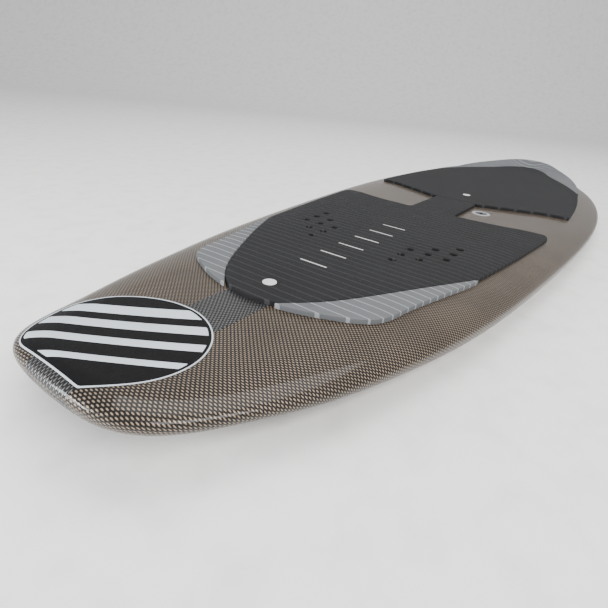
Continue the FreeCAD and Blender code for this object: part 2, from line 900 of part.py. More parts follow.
os.makedirs("parts", exist_ok=True)
for node in nodes:
    node.Shape.exportStep(f"parts/{node.Label}.step")
    solids = len(node.Shape.Solids)
    print(f"{node.Label}: {node.Shape.Volume / 1000:.2f} cm3, {solids} solids")
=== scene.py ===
import json
import math

import bpy
import bmesh
import numpy as np
from mathutils import Matrix, Vector
from mathutils.bvhtree import BVHTree
from mathutils.geometry import delaunay_2d_cdt


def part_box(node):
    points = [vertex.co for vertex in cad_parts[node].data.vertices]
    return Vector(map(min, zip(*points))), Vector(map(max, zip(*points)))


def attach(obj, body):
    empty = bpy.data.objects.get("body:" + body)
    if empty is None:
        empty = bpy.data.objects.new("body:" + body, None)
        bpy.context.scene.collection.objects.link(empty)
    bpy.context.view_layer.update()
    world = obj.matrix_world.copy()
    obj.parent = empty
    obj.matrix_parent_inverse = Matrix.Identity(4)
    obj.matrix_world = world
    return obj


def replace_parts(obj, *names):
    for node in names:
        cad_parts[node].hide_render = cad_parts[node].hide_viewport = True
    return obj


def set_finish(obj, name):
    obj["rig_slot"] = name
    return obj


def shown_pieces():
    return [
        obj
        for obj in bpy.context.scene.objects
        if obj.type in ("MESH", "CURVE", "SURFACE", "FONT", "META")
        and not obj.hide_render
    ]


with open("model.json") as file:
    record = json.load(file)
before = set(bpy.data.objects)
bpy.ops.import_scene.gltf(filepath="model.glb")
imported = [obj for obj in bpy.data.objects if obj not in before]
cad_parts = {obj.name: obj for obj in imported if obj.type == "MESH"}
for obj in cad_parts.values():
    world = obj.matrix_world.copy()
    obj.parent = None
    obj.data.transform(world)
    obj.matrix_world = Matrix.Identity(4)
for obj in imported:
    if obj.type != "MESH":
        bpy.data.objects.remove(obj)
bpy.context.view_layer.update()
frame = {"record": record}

MM = 0.001

# The board's driving dimensions, in millimetres, as in the CAD part.
HALF_LENGTH = 725.0
DECK = 48.0
NOSE_RISE, NOSE_RISE_START = 14.5, 583.0
NOSE_ROCKER, NOSE_ROCKER_START = 36.0, 330.0
TAIL_ROCKER, TAIL_ROCKER_START = 18.0, 450.0
APEX_SHARE = 0.42
ROLL_SHARES = (0.44, 0.25)
FAN_SHARE = 625 / 725
END_WIDTH = 50.0
STATIONS = 36
PROUD = 0.4
SKIN = 1.5
INSERT_FRONT, INSERT_PITCH, INSERT_INNER, INSERT_STEP = 361.4, 25.4, 56.0, 23.0
INSERTS = [
    (INSERT_FRONT - INSERT_PITCH * (row + step), side * (INSERT_INNER + INSERT_STEP * row))
    for side in (1, -1)
    for row in range(3)
    for step in range(3)
]
VENT = (18.0, 60.0)
OUTLINE = [
    (-725, 0), (-720, 22), (-705, 47), (-675, 78), (-630, 113), (-570, 148),
    (-500, 178), (-420, 200), (-320, 217), (-140, 227.5), (100, 216), (240, 202),
    (370, 185), (470, 165), (540, 146), (600, 127), (660, 100), (692, 85),
    (708, 73), (719, 57), (724, 31), (725, 0),
]

# How the visual model is cut: the laminate's drop below the CAD's skin, and its mesh.
SHELL_DROP = 0.15
COLUMNS_PER_SPAN = 6
ROWS_PER_SPAN = 8
APEX_AT = 10.0
ROWS_AT = np.linspace(0, STATIONS - 2, ROWS_PER_SPAN * (STATIONS - 2) + 1)
SOFTEN = 0.12
UV_PER_MM = 0.01


# ------------------------------------------------------------------ board surface


def spline(points, count):
    """Points along a smooth curve through a few given points."""
    pts = np.array(points, float)
    steps = np.hypot(*np.diff(pts, axis=0).T)
    knots = np.concatenate([[0], np.cumsum(steps)])
    n = len(pts)
    left = np.zeros((n, n))
    right = np.zeros((n, 2))
    left[0, :2] = (2, 1)
    left[-1, -2:] = (1, 2)
    right[0] = 3 * (pts[1] - pts[0]) / steps[0]
    right[-1] = 3 * (pts[-1] - pts[-2]) / steps[-1]
    for i in range(1, n - 1):
        a, b = steps[i - 1], steps[i]
        left[i, i - 1 : i + 2] = (b, 2 * (a + b), a)
        before = (pts[i] - pts[i - 1]) / a
        after = (pts[i + 1] - pts[i]) / b
        right[i] = 3 * (b * before + a * after)
    slopes = np.linalg.solve(left, right)
    at = np.linspace(0, knots[-1], count)
    k = np.clip(np.searchsorted(knots, at, side="right") - 1, 0, n - 2)
    t = ((at - knots[k]) / steps[k])[:, None]
    span = steps[k][:, None]
    return (
        (2 * t**3 - 3 * t**2 + 1) * pts[k]
        + (t**3 - 2 * t**2 + t) * span * slopes[k]
        + (3 * t**2 - 2 * t**3) * pts[k + 1]
        + (t**3 - t**2) * span * slopes[k + 1]
    )


def deck_line(x):
    """Height of the deck's centreline."""
    over = np.maximum(x - NOSE_RISE_START, 0) / (HALF_LENGTH - NOSE_RISE_START)
    return DECK + NOSE_RISE * over**2


def hull_line(x):
    """Height of the hull's centreline."""
    nose = np.maximum(x - NOSE_ROCKER_START, 0) / (HALF_LENGTH - NOSE_ROCKER_START)
    tail = np.maximum(-x - TAIL_ROCKER_START, 0) / (HALF_LENGTH - TAIL_ROCKER_START)
    return NOSE_ROCKER * nose**2 + TAIL_ROCKER * tail**2


def apex_line(x):
    """Height of the widest line of the rail."""
    return deck_line(x) - APEX_SHARE * (deck_line(x) - hull_line(x))


def control_net(grow):
    """Rows of control points from the deck's centreline round the rail to the hull's."""
    fine = spline(OUTLINE, 4000)
    run = np.concatenate([[0], np.cumsum(np.hypot(*np.diff(fine, axis=0).T))])
    along = run[-1] * (1 - np.cos(np.pi * np.arange(STATIONS + 1) / STATIONS)) / 2
    edge = np.stack([np.interp(along, run, fine[:, k]) for k in range(2)], 1)
    edge[[0, -1], 1] = 0
    net = []
    for x, y in edge:
        hub = np.array([x * FAN_SHARE, 0])
        arm = np.array([x, y]) - hub
        reach = np.hypot(*arm) + grow
        arm /= np.hypot(*arm)
        row = []
        for side, share in ((1, ROLL_SHARES[0]), (-1, ROLL_SHARES[1])):
            roll = share * math.hypot(y, END_WIDTH)
            turns = np.radians(np.arange(0, 91, 10))
            reaches = np.concatenate([[0, (reach - roll) / 2], reach - roll + roll * np.sin(turns)])
            lift = np.cos(np.concatenate([[0, 0], turns]))
            spots = hub + reaches[:, None] * arm
            middle = apex_line(spots[:, 0])
            face = deck_line(spots[:, 0]) if side > 0 else hull_line(spots[:, 0])
            z = middle + side * (np.abs(face - middle) + grow + PROUD) * lift
            line = np.column_stack([spots, z])
            row.append(line if side > 0 else line[-2::-1])
        net.append(np.concatenate(row))
    return np.array(net)


def basis(count, at):
    """Cubic basis values of a clamped uniform spline at given parameters."""
    knots = np.concatenate([[0] * 3, np.arange(count - 2), [count - 3] * 3]).astype(float)
    at = np.clip(at, 0, count - 3 - 1e-9)
    value = np.array([(knots[i] <= at) & (at < knots[i + 1]) for i in range(count + 3)], float)
    for degree in (1, 2, 3):
        fresh = []
        for i in range(count + 3 - degree):
            total = np.zeros_like(at)
            if knots[i + degree] > knots[i]:
                total += (at - knots[i]) / (knots[i + degree] - knots[i]) * value[i]
            if knots[i + degree + 1] > knots[i + 1]:
                high = knots[i + degree + 1]
                total += (high - at) / (high - knots[i + 1]) * value[i + 1]
            fresh.append(total)
        value = np.array(fresh)
    return value.T


def surface(grow, part):
    """A grid of points on one half of the deck or hull, and the cloth's flat coordinates."""
    net = control_net(grow)
    across = np.linspace(0, APEX_AT, int(APEX_AT * COLUMNS_PER_SPAN) + 1)
    if part == "hull":
        across = 2 * APEX_AT - across
    u = basis(net.shape[0], ROWS_AT)
    v = basis(net.shape[1], across)
    grid = np.einsum("ui,ijk,vj->uvk", u, net, v)
    x, z = grid[..., 0], grid[..., 2]
    if part == "deck":
        top = deck_line(x) + grow
        grid[..., 2] = top - SOFTEN * np.log1p(np.exp((top - z) / SOFTEN))
    else:
        low = hull_line(x) - grow
        grid[..., 2] = low + SOFTEN * np.log1p(np.exp((z - low) / SOFTEN))
    grid[[0, -1], :, 1] = 0
    steps = np.linalg.norm(np.diff(grid, axis=1), axis=2)
    run = np.concatenate([np.zeros((len(grid), 1)), np.cumsum(steps, axis=1)], axis=1)
    arm = grid[:, -1, :2] - grid[:, 0, :2]
    arm /= np.linalg.norm(arm, axis=1)[:, None]
    if part == "deck":
        return grid, grid[:, :1, :2] + run[..., None] * arm[:, None, :]
    edge = surface(grow, "deck")[1][:, -1:]
    return grid, edge + (run[:, -1:] - run)[..., None] * arm[:, None, :]


def new_piece(name, verts, faces, slot):
    """A mesh object in metres from vertices in millimetres, riding on the board."""
    mesh = bpy.data.meshes.new(name)
    mesh.from_pydata([tuple(v) for v in np.asarray(verts, float) * MM], [], faces)
    mesh.validate()
    piece = bpy.data.objects.new(name, mesh)
    bpy.context.scene.collection.objects.link(piece)
    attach(piece, "board")
    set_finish(piece, slot)
    return piece


def smooth(piece, angle):
    """Smooth shading, with edges sharper than an angle kept crisp."""
    mesh = piece.data
    mesh.polygons.foreach_set("use_smooth", [True] * len(mesh.polygons))
    mesh.set_sharp_from_angle(angle=math.radians(angle))
    return piece


def outward(piece, weld=0.0, melt=0.0):
    """Near vertices welded, tiny edges melted, and faces turned so that their normals point out."""
    bm = bmesh.new()
    bm.from_mesh(piece.data)
    if weld:
        bmesh.ops.remove_doubles(bm, verts=bm.verts, dist=weld * MM)
    if melt:
        bmesh.ops.dissolve_degenerate(bm, edges=bm.edges, dist=melt * MM)
    bmesh.ops.recalc_face_normals(bm, faces=bm.faces)
    bm.to_mesh(piece.data)
    bm.free()
    return piece


def lay_cloth(piece, flat):
    """The cloth's flat coordinates, in millimetres, as the piece's UV map."""
    layer = piece.data.uv_layers.new(name="weave")
    loops = np.array([loop.vertex_index for loop in piece.data.loops])
    layer.data.foreach_set("uv", (np.asarray(flat) * UV_PER_MM)[loops].ravel())


def both_halves(grid, flat, flip):
    """Vertices, quads and flat coordinates of a half grid and its mirror, not yet welded."""
    rows, cols = grid.shape[:2]
    verts, uvs, faces = [], [], []
    for side in (1, -1):
        start = len(verts)
        sign = np.array([1, side, 1])
        verts.extend((grid * sign).reshape(-1, 3))
        uvs.extend((flat * sign[:2]).reshape(-1, 2))
        for i in range(rows - 1):
            for j in range(cols - 1):
                a = start + i * cols + j
                quad = (a, a + cols, a + cols + 1, a + 1)
                faces.append(quad if (side > 0) == flip else quad[::-1])
    return verts, uvs, faces


def laminate(name, part, slot):
    """One skin of the board: an outer face, an inner face and the rim between them."""
    outer, outer_flat = surface(-SHELL_DROP, part)
    inner, inner_flat = surface(-SKIN, part)
    verts, uvs, faces = both_halves(outer, outer_flat, part == "deck")
    more, more_uvs, more_faces = both_halves(inner, inner_flat, part == "hull")
    start = len(verts)
    faces += [tuple(start + k for k in face) for face in more_faces]
    rows, cols = outer.shape[:2]
    for side in range(2):
        for i in range(rows - 1):
            a = side * rows * cols + i * cols + cols - 1
            faces.append((a, a + cols, start + a + cols, start + a))
    piece = new_piece(name, verts + more, faces, slot)
    lay_cloth(piece, uvs + more_uvs)
    return outward(piece, weld=0.01)


def carve(piece, cutters):
    """Cut solids out of a closed piece, then drop the cutters."""
    tool = bpy.data.objects.new(piece.name + "_tool", bpy.data.meshes.new("tool"))
    bm = bmesh.new()
    for cutter in cutters:
        bm.from_mesh(cutter)
        bpy.data.meshes.remove(cutter)
    bm.to_mesh(tool.data)
    bm.free()
    bpy.context.scene.collection.objects.link(tool)
    hole = piece.modifiers.new("holes", "BOOLEAN")
    hole.operation = "DIFFERENCE"
    hole.solver = "EXACT"
    hole.object = tool
    evaluated = piece.evaluated_get(bpy.context.evaluated_depsgraph_get())
    mesh = bpy.data.meshes.new_from_object(evaluated)
    piece.modifiers.clear()
    piece.data = mesh
    bpy.data.objects.remove(tool)
    return piece


def upright_prism(points, low, high):
    """A closed upright solid over a loop of plan points, in millimetres."""
    mesh = bpy.data.meshes.new("prism")
    bm = bmesh.new()
    rings = [[bm.verts.new((x * MM, y * MM, z * MM)) for x, y in points] for z in (low, high)]
    count = len(points)
    for i in range(count):
        k = (i + 1) % count
        bm.faces.new((rings[0][i], rings[0][k], rings[1][k], rings[1][i]))
    bm.faces.new(rings[0][::-1])
    bm.faces.new(rings[1])
    bmesh.ops.recalc_face_normals(bm, faces=bm.faces)
    bm.to_mesh(mesh)
    bm.free()
    return mesh


def ring(x, y, radius, count=40):
    """Plan points of a circle."""
    turns = np.arange(count) * 2 * math.pi / count
    return [(x + radius * math.cos(a), y + radius * math.sin(a)) for a in turns]


def rounded_window(low, high, radius):
    """Plan points of a rectangle with round corners."""
    points = []
    corners = ((high[0], high[1], 0), (low[0], high[1], 1), (low[0], low[1], 2), (high[0], low[1], 3))
    for x, y, quarter in corners:
        cx = x - radius if x == high[0] else x + radius
        cy = y - radius if y == high[1] else y + radius
        for step in range(9):
            a = math.pi / 2 * (quarter + step / 8)
            points.append((cx + radius * math.cos(a), cy + radius * math.sin(a)))
    return points


# ------------------------------------------------------------------ sheets cut to an outline


def offset(loop, distance):
    """A closed loop moved to its right by a distance: outwards if it runs anticlockwise."""
    pts = np.array(loop, float)
    before = pts - np.roll(pts, 1, axis=0)
    after = np.roll(pts, -1, axis=0) - pts
    normals = []
    for edge in (before, after):
        edge = edge / np.maximum(np.linalg.norm(edge, axis=1)[:, None], 1e-9)
        normals.append(np.column_stack([edge[:, 1], -edge[:, 0]]))
    middle = normals[0] + normals[1]
    middle /= np.maximum(np.linalg.norm(middle, axis=1)[:, None], 1e-9)
    stretch = 1 / np.maximum((middle * normals[0]).sum(axis=1), 0.5)
    return pts + middle * (distance * stretch)[:, None]


def crossings(loop, levels):
    """The same loop with a point added wherever it crosses one of the x levels."""
    out = []
    pts = np.asarray(loop, float)
    for i, here in enumerate(pts):
        there = pts[(i + 1) % len(pts)]
        out.append(here)
        low, high = sorted((here[0], there[0]))
        found = [x for x in levels if low + 1e-6 < x < high - 1e-6]
        for x in sorted(found, reverse=bool(here[0] > there[0])):
            share = (x - here[0]) / (there[0] - here[0])
            out.append(np.array([x, here[1] + share * (there[1] - here[1])]))
    return np.array(out)


def inside(points, loops):
    """Which points lie inside the loops, by the even-odd rule."""
    pts = np.asarray(points, float)
    odd = np.zeros(len(pts), bool)
    for loop in loops:
        a = np.asarray(loop, float)
        b = np.roll(a, -1, axis=0)
        for (x0, y0), (x1, y1) in zip(a, b):
            if y0 == y1:
                continue
            hit = (y0 > pts[:, 1]) != (y1 > pts[:, 1])
            cut = x0 + (pts[:, 1] - y0) * (x1 - x0) / (y1 - y0)
            odd ^= hit & (pts[:, 0] < cut)
    return odd


def triangulate(loops, levels, pitch):
    """Plan triangles that fill the loops, with edges along the x levels."""
    verts, edges = [], []
    for loop in loops:
        first = len(verts)
        verts += [tuple(p) for p in loop]
        edges += [(first + i, first + (i + 1) % len(loop)) for i in range(len(loop))]
    low = np.min([np.min(loop, axis=0) for loop in loops], axis=0)
    high = np.max([np.max(loop, axis=0) for loop in loops], axis=0)
    for x in levels:
        ys = []
        for loop in loops:
            a = np.asarray(loop)
            b = np.roll(a, -1, axis=0)
            ys += [p[1] for p in a if abs(p[0] - x) < 1e-6]
            hit = (a[:, 0] - x) * (b[:, 0] - x) < -1e-9
            t = (x - a[hit, 0]) / (b[hit, 0] - a[hit, 0])
            ys += list(a[hit, 1] + t * (b[hit, 1] - a[hit, 1]))
        ys = sorted(set(np.round(ys, 5)))
        for y0, y1 in zip(ys, ys[1:]):
            if y1 - y0 < 0.2 or not inside([(x, (y0 + y1) / 2)], loops)[0]:
                continue
            count = max(int((y1 - y0) / pitch), 1)
            line = [(x, y0 + (y1 - y0) * k / count) for k in range(count + 1)]
            first = len(verts)
            verts += line
            edges += [(first + k, first + k + 1) for k in range(count)]
    if not len(levels):
        xs = np.arange(low[0], high[0], pitch)
        ys = np.arange(low[1], high[1], pitch)
        field = np.array([(x + (pitch / 2) * (k % 2), y) for k, y in enumerate(ys) for x in xs])
        shrunk = [offset(loop, -0.4 * pitch) for loop in loops]
        verts += [tuple(p) for p in field[inside(field, shrunk)]]
    made = delaunay_2d_cdt([Vector(p) for p in verts], edges, [], 0, 1e-4)
    spots = np.array([tuple(p) for p in made[0]])
    tris = np.array(made[2])
    middles = spots[tris].mean(axis=1)
    return spots, tris[inside(middles, loops)]


GROOVE_PITCH, GROOVE_START = 11.7, 5.0
GROOVE_WIDTH, GROOVE_DEPTH, GROOVE_SLOPE = 1.7, 0.9, 0.5
# A sheet's rounded rim, as shares of its bevel: how far out, how far down.
RIM_STEPS = ((0, 0), (0.6, 0.15), (0.9, 0.5), (1, 1))
SHEET_CREASE = 40


def groove_levels(loop):
    """The x levels of the groove edges that cross a loop."""
    xs = np.asarray(loop)[:, 0]
    first = math.ceil((xs.min() - GROOVE_START) / GROOVE_PITCH)
    last = math.floor((xs.max() - GROOVE_START) / GROOVE_PITCH)
    half = GROOVE_WIDTH / 2
    steps = (-half, -half + GROOVE_SLOPE, half - GROOVE_SLOPE, half)
    return [GROOVE_START + GROOVE_PITCH * k + s for k in range(first, last + 1) for s in steps]


def groove_drop(x):
    """How far the grooves lie below the sheet's top."""
    away = np.abs((x - GROOVE_START + GROOVE_PITCH / 2) % GROOVE_PITCH - GROOVE_PITCH / 2)
    return GROOVE_DEPTH * np.clip((GROOVE_WIDTH / 2 - away) / GROOVE_SLOPE, 0, 1)


def sheet(name, loops, height, slot, bevel=0.9, base=0.1, grooved=False, pitch=8.0):
    """A closed sheet on the deck: its outline, its height above the deck, its rounded rim."""
    levels = groove_levels(loops[0]) if grooved else []
    top_loops = [crossings(offset(loop, -bevel), levels) for loop in loops]

    def top(spots):
        z = deck_height(spots) + height(spots)
        return z - groove_drop(spots[:, 0]) if grooved else z

    spots, tris = triangulate(top_loops, levels, pitch)
    verts = [np.column_stack([spots, top(spots)])]
    faces = [tuple(t) for t in tris]
    start = len(spots)
    for loop in top_loops:
        rings = []
        for out, drop in RIM_STEPS:
            place = offset(loop, bevel * out)
            z = deck_height(place) + height(place) - bevel * drop if out else top(place)
            rings.append(np.column_stack([place, z]))
        place = offset(loop, bevel)
        rings.append(np.column_stack([place, deck_height(place) + base]))
        for k in range(len(rings) - 1):
            verts += [rings[k], rings[k + 1]]
            count = len(loop)
            for i in range(count):
                n = (i + 1) % count
                faces.append((start + i, start + n, start + count + n, start + count + i))
            start += 2 * count
    spots, tris = triangulate([offset(loop, bevel) for loop in top_loops], [], 1.5 * pitch)
    verts.append(np.column_stack([spots, deck_height(spots) + base]))
    faces += [tuple(start + k for k in t[::-1]) for t in tris]
    piece = new_piece(name, np.concatenate(verts), faces, slot)
    return smooth(outward(piece, weld=0.02, melt=0.001), SHEET_CREASE)


def level(value):
    """A height function that is the same everywhere."""
    return lambda spots: np.full(len(spots), float(value))


# ------------------------------------------------------------------ laminate


def surface_tree(part):
    """The laminate's outer face as a tree to cast rays on."""
    grid, flat = surface(-SHELL_DROP, part)
    verts, _, faces = both_halves(grid, flat, True)
    return BVHTree.FromPolygons([tuple(v) for v in verts], faces)


DECK_TREE = surface_tree("deck")
HULL_TREE = surface_tree("hull")
HIGH = 300.0


def deck_height(spots):
    """Height of the deck at plan points; off the deck, the height at the rail."""
    out = []
    for x, y in np.asarray(spots, float):
        hit = DECK_TREE.ray_cast(Vector((x, y, HIGH)), Vector((0, 0, -1)))[0]
        if hit is None:
            hit = DECK_TREE.find_nearest(Vector((x, y, apex_line(x))))[0]
        out.append(hit.z)
    return np.array(out)


SLEEVE_RADIUS = 5.0
DECK_CUT, HULL_CUT = (0, 90), (-30, 20)
WINDOW_RADIUS = 8.0
LAMINATE_CREASE = 35


def make_laminate():
    """The woven skins, with holes for the inserts and the vent, and windows for the tracks."""
    deck = laminate("deck_laminate", "deck", "carbon_deck")
    flange = (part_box("vent_cup")[1].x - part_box("vent_cup")[0].x) / 2 / MM
    cutters = [upright_prism(ring(x, y, SLEEVE_RADIUS), *DECK_CUT) for x, y in INSERTS]
    cutters.append(upright_prism(ring(*VENT, flange, 64), *DECK_CUT))
    smooth(carve(deck, cutters), LAMINATE_CREASE)
    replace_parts(deck, "deck_skin")
    hull = laminate("hull_laminate", "hull", "carbon_hull")
    cutters = []
    for side in ("port", "starboard"):
        low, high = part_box(f"track_box_{side}")
        corners = (low.x / MM, low.y / MM), (high.x / MM, high.y / MM)
        cutters.append(upright_prism(rounded_window(*corners, WINDOW_RADIUS), *HULL_CUT))
    smooth(carve(hull, cutters), LAMINATE_CREASE)
    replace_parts(hull, "hull_skin")


TAPE_HALF, TAPE_COLUMNS, TAPE_ROWS = 24.3, 16, 420
TAPE_RAISE, TAPE_SINK, TAPE_CREASE = 0.12, 0.3, 50
# Past the hub, the tape's line is found by a fan of rays in place of upright ones.
TAPE_HUB, FAN_LIFT = 692.0, 20
FAN_RAYS, FLAT_RAYS = 28, 300


def tape_line(y, part):
    """Points along the board at one y, from the tail's edge to the nose's edge."""
    up = 1 if part == "deck" else -1
    tree = DECK_TREE if up > 0 else HULL_TREE
    ends = []
    for end in (-1, 1):
        hub = Vector((end * TAPE_HUB, y, float(apex_line(end * (TAPE_HUB + FAN_LIFT)))))
        fan = []
        for k in range(FAN_RAYS + 1):
            turn = math.pi / 2 * (1 - k / FAN_RAYS)
            hit = tree.ray_cast(hub, Vector((end * math.cos(turn), 0, up * math.sin(turn))))[0]
            if hit is not None:
                fan.append(tuple(hit))
        ends.append(fan)
    middle = []
    for x in np.linspace(-TAPE_HUB + 4, TAPE_HUB - 4, FLAT_RAYS):
        middle.append(tuple(tree.ray_cast(Vector((x, y, up * HIGH)), Vector((0, 0, -up)))[0]))
    return np.array(ends[0][::-1] + middle + ends[1])


def make_tape(part):
    """The centreline tape on one face of the board."""
    columns = np.linspace(-TAPE_HALF, TAPE_HALF, TAPE_COLUMNS)
    lines = [tape_line(y, part) for y in columns]
    grid, runs = [], []
    for line in lines:
        run = np.concatenate([[0], np.cumsum(np.linalg.norm(np.diff(line, axis=0), axis=1))])
        share = run / run[-1]
        at = np.linspace(0, 1, TAPE_ROWS)
        at = 0.5 * (at + (1 - np.cos(np.pi * at)) / 2)
        grid.append(np.stack([np.interp(at, share, line[:, k]) for k in range(3)], 1))
        runs.append((at - 0.5) * run[-1])
    grid = np.array(grid).transpose(1, 0, 2)
    along = np.gradient(grid, axis=0)
    across = np.gradient(grid, axis=1)
    normal = np.cross(along, across)
    normal /= np.linalg.norm(normal, axis=2)[..., None]
    if part == "hull":
        normal = -normal
    top = grid + normal * TAPE_RAISE
    under = grid - normal * TAPE_SINK
    rows, cols = grid.shape[:2]
    verts = np.concatenate([top.reshape(-1, 3), under.reshape(-1, 3)])
    start = rows * cols
    faces = []
    for i in range(rows - 1):
        for j in range(cols - 1):
            a = i * cols + j
            faces.append((a, a + 1, a + cols + 1, a + cols))
            faces.append(tuple(start + k for k in (a, a + cols, a + cols + 1, a + 1)))
    border = [(i * cols, (i + 1) * cols) for i in range(rows - 1)]
    border += [((i + 1) * cols - 1, (i + 2) * cols - 1) for i in range(rows - 1)]
    border += [(j, j + 1) for j in range(cols - 1)]
    border += [((rows - 1) * cols + j, (rows - 1) * cols + j + 1) for j in range(cols - 1)]
    faces += [(a, b, start + b, start + a) for a, b in border]
    piece = new_piece(f"{part}_tape", verts, faces, "carbon_tape")
    lay_cloth(piece, 2 * [(runs[j][i], columns[j]) for i in range(rows) for j in range(cols)])
    smooth(outward(piece), TAPE_CREASE)
    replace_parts(piece, f"{part}_stringer_tape")


# ------------------------------------------------------------------ pad outlines

STEP = 3.0
SPLINE_POINTS = 600
BRIDGE_HALF = 37.5
FRONT_END, REAR_START = -23.5, -24.5
PAD_NOSE = [(335, 148), (396, 120), (460, 88), (517, 53), (540, 30), (547, 0)]
FRONT_SIDE = [
    [(335, 148), (200, 166), (84, 178)],
    [(84, 178), (72, 172)],
    [(72, 172), (90, 112), (97, BRIDGE_HALF)],
    [(97, BRIDGE_HALF), (FRONT_END, BRIDGE_HALF)],
]
REAR_SIDE = [
    [(REAR_START, BRIDGE_HALF), (-58, 110), (-91, 184)],
    [(-91, 184), (-230, 180), (-368, 165)],
]
WING_OUTER = [
    (544, 29), (537, 55), (526, 80), (516, 98), (500, 112), (469, 120), (406, 134), (338, 150),
]
WING_SHIFT = 1.6
KICK_INNER = [(-368, 165), (-430, 138), (-500, 102), (-570, 68), (-640, 38), (-672, 0)]
KICK_OUTER = [(-368, 167), (-480, 152), (-570, 118), (-640, 76), (-690, 34), (-700, 0)]


def flipped(points):
    """The same points on the other side of the board."""
    return [(x, -y) for x, y in points]


def across(points):
    """A curve from port to starboard, from its port half."""
    return points + flipped(points[-2::-1])


def resampled(points):
    """Points every few millimetres along a straight line or a smooth curve."""
    if len(points) > 2:
        fine = spline(points, SPLINE_POINTS)
    else:
        fine = np.linspace(*np.array(points, float), SPLINE_POINTS)
    run = np.concatenate([[0], np.cumsum(np.hypot(*np.diff(fine, axis=0).T))])
    at = np.linspace(0, run[-1], max(int(run[-1] / STEP), 2) + 1)
    return np.stack([np.interp(at, run, fine[:, k]) for k in range(2)], 1)


def outline(spans, soften=3):
    """One anticlockwise loop from spans laid end to end, its corners slightly rounded."""
    loop = np.concatenate([resampled(span)[:-1] for span in spans])
    for _ in range(soften):
        loop = (np.roll(loop, 1, axis=0) + 2 * loop + np.roll(loop, -1, axis=0)) / 4
    x, y = loop.T
    turn = (x * np.roll(y, -1) - np.roll(x, -1) * y).sum()
    return loop if turn > 0 else loop[::-1]


def polyline_distance(spots, line):
    """Distance from plan points to a polyline."""
    pts = np.asarray(spots, float)[:, None, :]
    a, b = line[:-1][None], line[1:][None]
    t = ((pts - a) * (b - a)).sum(axis=2) / ((b - a) ** 2).sum(axis=2)
    foot = a + np.clip(t, 0, 1)[..., None] * (b - a)
    return np.linalg.norm(pts - foot, axis=2).min(axis=1)


GLUE, PAD_THICK = 0.2, 4.8
PAD_TOP = GLUE + PAD_THICK
PAD_HOLE = 4.9
KICK_HEIGHT, KICK_BOWL = 24.0, 1.3
KICK_START, KICK_END = 368, 700


def kick_height(spots):
    """The tail kick's height above the deck: a bowl that climbs to its outer rim."""
    inner = polyline_distance(spots, resampled(across(KICK_INNER)))
    outer = polyline_distance(spots, resampled(across(KICK_OUTER)))
    share = inner / np.maximum(inner + outer, 1e-6)
    back = np.clip((-spots[:, 0] - KICK_START) / (KICK_END - KICK_START), 0, 1)
    crest = DECK - KICK_HEIGHT / 2 + 1.5 * KICK_HEIGHT * back
    climb = np.maximum(crest - deck_height(spots) - PAD_TOP, 0)
    return PAD_TOP + climb * share**KICK_BOWL


def make_pad(node, name, slot, loops, height=level(PAD_TOP), bevel=0.9):
    """A grooved foam pad that stands for one node of the part."""
    piece = sheet(name, loops, height, slot, bevel=bevel, grooved=True)
    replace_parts(piece, node)


def make_pads():
    """The front and rear pads, the two wings and the tail kick."""
    front = [across(PAD_NOSE)]
    front += [flipped(span) for span in FRONT_SIDE]
    front.append([(FRONT_END, -BRIDGE_HALF), (FRONT_END, BRIDGE_HALF)])
    front += [span[::-1] for span in FRONT_SIDE[::-1]]
    holes = [np.array(ring(x, y, PAD_HOLE, 28))[::-1] for x, y in INSERTS]
    make_pad("front_pad", "front_pad_foam", "pad_dark", [outline(front), *holes])
    rear = [across(KICK_INNER)]
    rear += [flipped(span[::-1]) for span in REAR_SIDE[::-1]]
    rear.append([(REAR_START, -BRIDGE_HALF), (REAR_START, BRIDGE_HALF)])
    rear += REAR_SIDE
    make_pad("rear_pad", "rear_pad_foam", "pad_dark", [outline(rear)])
    inner = [(x + WING_SHIFT, y) for x, y in PAD_NOSE[:4]] + [WING_OUTER[0]]
    wing = [WING_OUTER, [WING_OUTER[-1], inner[0]], inner]
    for side, spans in (("port", wing), ("starboard", [flipped(span) for span in wing])):
        make_pad(f"pad_wing_{side}", f"wing_foam_{side}", "pad_light", [outline(spans, 2)])
    inner = [(x - WING_SHIFT, y) for x, y in across(KICK_INNER)]
    outer = across(KICK_OUTER)
    kick = [outer, [outer[-1], inner[-1]], inner[::-1], [inner[0], outer[0]]]
    make_pad("rear_kick", "rear_kick_foam", "pad_light", [outline(kick, 2)], kick_height, 1.2)


def joined(name, parts, slot):
    """Several pieces as one object."""
    bm = bmesh.new()
    for part in parts:
        bm.from_mesh(part.data)
        bpy.data.objects.remove(part)
    mesh = bpy.data.meshes.new(name)
    bm.to_mesh(mesh)
    bm.free()
    piece = bpy.data.objects.new(name, mesh)
    bpy.context.scene.collection.objects.link(piece)
    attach(piece, "board")
    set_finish(piece, slot)
    return smooth(piece, SHEET_CREASE)


MARK_COUNT, MARK_FRONT, MARK_PITCH = 6, 440, 39.9
MARK_HALF = np.array([1, 17.2])
CORNERS = np.array([(-1, -1), (1, -1), (1, 1), (-1, 1)])


def make_marks():
    """Light bars inlaid across the front pad."""
    bars = []
    for i in range(MARK_COUNT):
        loop = np.array([MARK_FRONT - MARK_PITCH * i, 0]) + CORNERS * MARK_HALF
        bars.append(sheet(f"bar_{i}", [loop], level(PAD_TOP + 0.1), "pad_mark", bevel=0.2, base=4))
    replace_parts(joined("pad_mark_inlays", bars, "pad_mark"), "pad_marks")


# ------------------------------------------------------------------ nose film and badges

